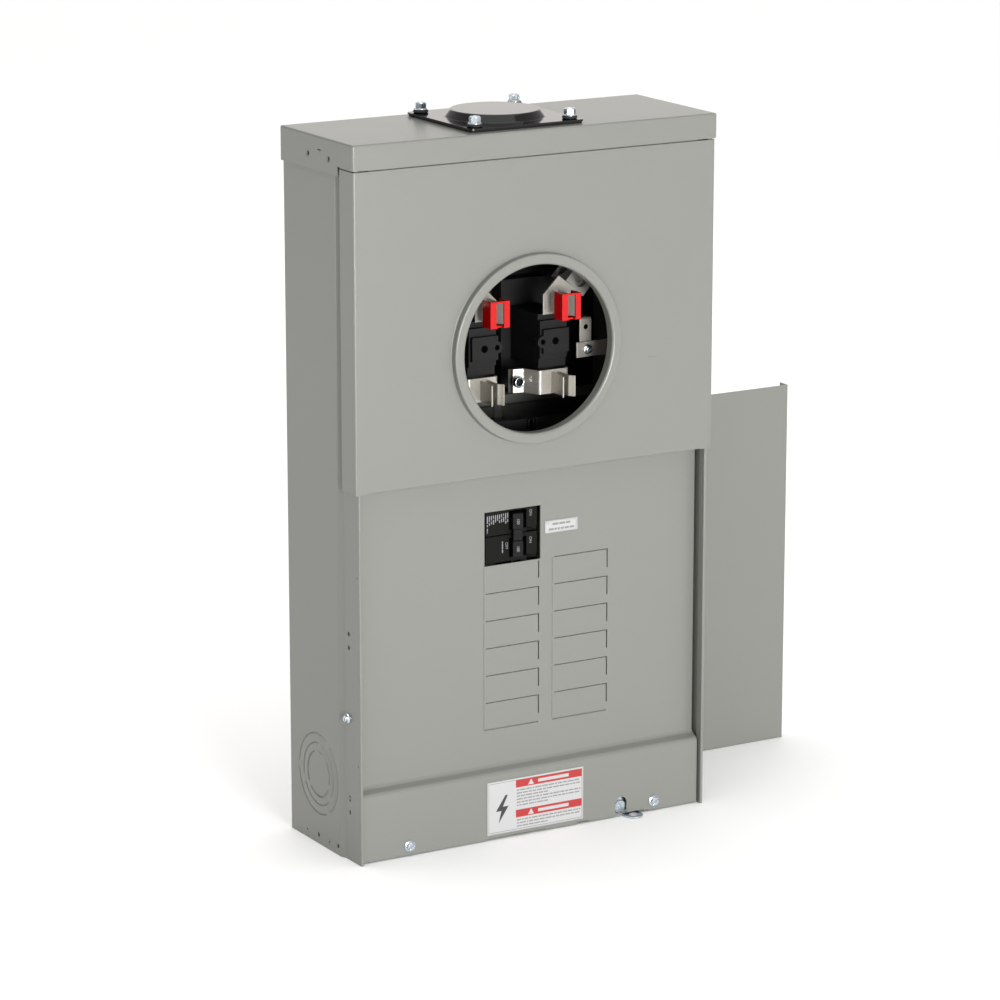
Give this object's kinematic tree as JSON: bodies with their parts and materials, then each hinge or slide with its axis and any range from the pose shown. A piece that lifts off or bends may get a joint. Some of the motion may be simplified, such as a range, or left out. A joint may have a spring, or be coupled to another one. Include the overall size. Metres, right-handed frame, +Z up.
{
  "type": "meter-main load center",
  "caption": "Tall sheet-steel wall enclosure with a round meter socket opening above a small breaker panel, hub closure on top, and its lift-off door beside it.",
  "frame": {"origin": "middle of the enclosure's flat back, on the wall plane", "axes": "+Z up, +Y into the wall, so the front faces -Y; +X to the right as seen from the front"},
  "size_m": [0.5463, 0.1557, 0.6613],
  "materials": {
    "grey_paint": "satin powder coat over galvanised steel",
    "black_paint": "gloss black enamel",
    "rubber": "matt black rubber",
    "zinc_steel": "bright blue zinc plate",
    "label": "printed label stock",
    "black_moulding": "moulded thermoset, fine matt texture",
    "tinned_metal": "tin plated strip",
    "lug_alloy": "extruded and machined",
    "red_plastic": "moulded red plastic"
  },
  "bodies": {
    "enclosure": {"enclosure_body": "grey_paint", "top_cap": "grey_paint", "bottom_endwall": "grey_paint", "dead_front": "grey_paint", "meter_pan": "grey_paint", "interior_pan": "grey_paint", "hub_plate": "black_paint", "hub_gasket": "rubber", "hub_washer_1": "rubber", "hub_washer_2": "rubber", "hub_washer_3": "rubber", "hub_washer_4": "rubber", "hub_bolt_1": "zinc_steel", "hub_bolt_2": "zinc_steel", "hub_bolt_3": "zinc_steel", "hub_bolt_4": "zinc_steel", "dead_front_screw_left": "zinc_steel", "dead_front_screw_right": "zinc_steel", "side_screw_left": "zinc_steel", "side_screw_right": "zinc_steel", "padlock_hasp": "zinc_steel", "load_screw_left": "zinc_steel", "load_screw_right": "zinc_steel", "ground_screw": "zinc_steel", "danger_label": "label", "service_label": "label", "jaw_block_left": "black_moulding", "jaw_block_right": "black_moulding", "barrier_shelf": "black_moulding", "bus_base": "black_moulding", "neutral_stand": "black_moulding", "main_pole_upper": "black_moulding", "main_pole_lower": "black_moulding", "line_jaw_left": "tinned_metal", "line_jaw_right": "tinned_metal", "load_jaw_left": "tinned_metal", "load_jaw_right": "tinned_metal", "load_strap_left": "tinned_metal", "load_strap_right": "tinned_metal", "ground_strap": "tinned_metal", "ground_tab": "tinned_metal", "bus_bar_left": "tinned_metal", "bus_bar_right": "tinned_metal", "line_lug_left": "lug_alloy", "line_lug_right": "lug_alloy", "line_lug_screw_left": "lug_alloy", "line_lug_screw_right": "lug_alloy", "neutral_bar": "lug_alloy", "ground_bar": "lug_alloy", "ground_bar_stand": "lug_alloy", "jaw_guard_left": "red_plastic", "jaw_guard_right": "red_plastic"},
    "breaker_handle": {"main_handle_upper": "black_moulding", "main_handle_lower": "black_moulding", "handle_tie": "black_moulding"},
    "meter_cover": {"meter_cover": "grey_paint"},
    "door": {"door": "grey_paint"}
  },
  "joints": [
    {"name": "main_breaker_handle", "type": "hinge", "parent": "enclosure", "child": "breaker_handle", "pos_m": [-0.0095, -0.1064, -0.04215], "axis": [0, 0, 1], "range_deg": [0, 32]},
    {"name": "meter_cover_unhook", "type": "slide", "parent": "enclosure", "child": "meter_cover", "axis": [0, 0, -1], "range_m": [0, 0.016]},
    {"name": "door_carry", "type": "slide", "parent": "enclosure", "child": "door", "axis": [1, 0, 0], "range_m": [0, 0.2]}
  ]
}
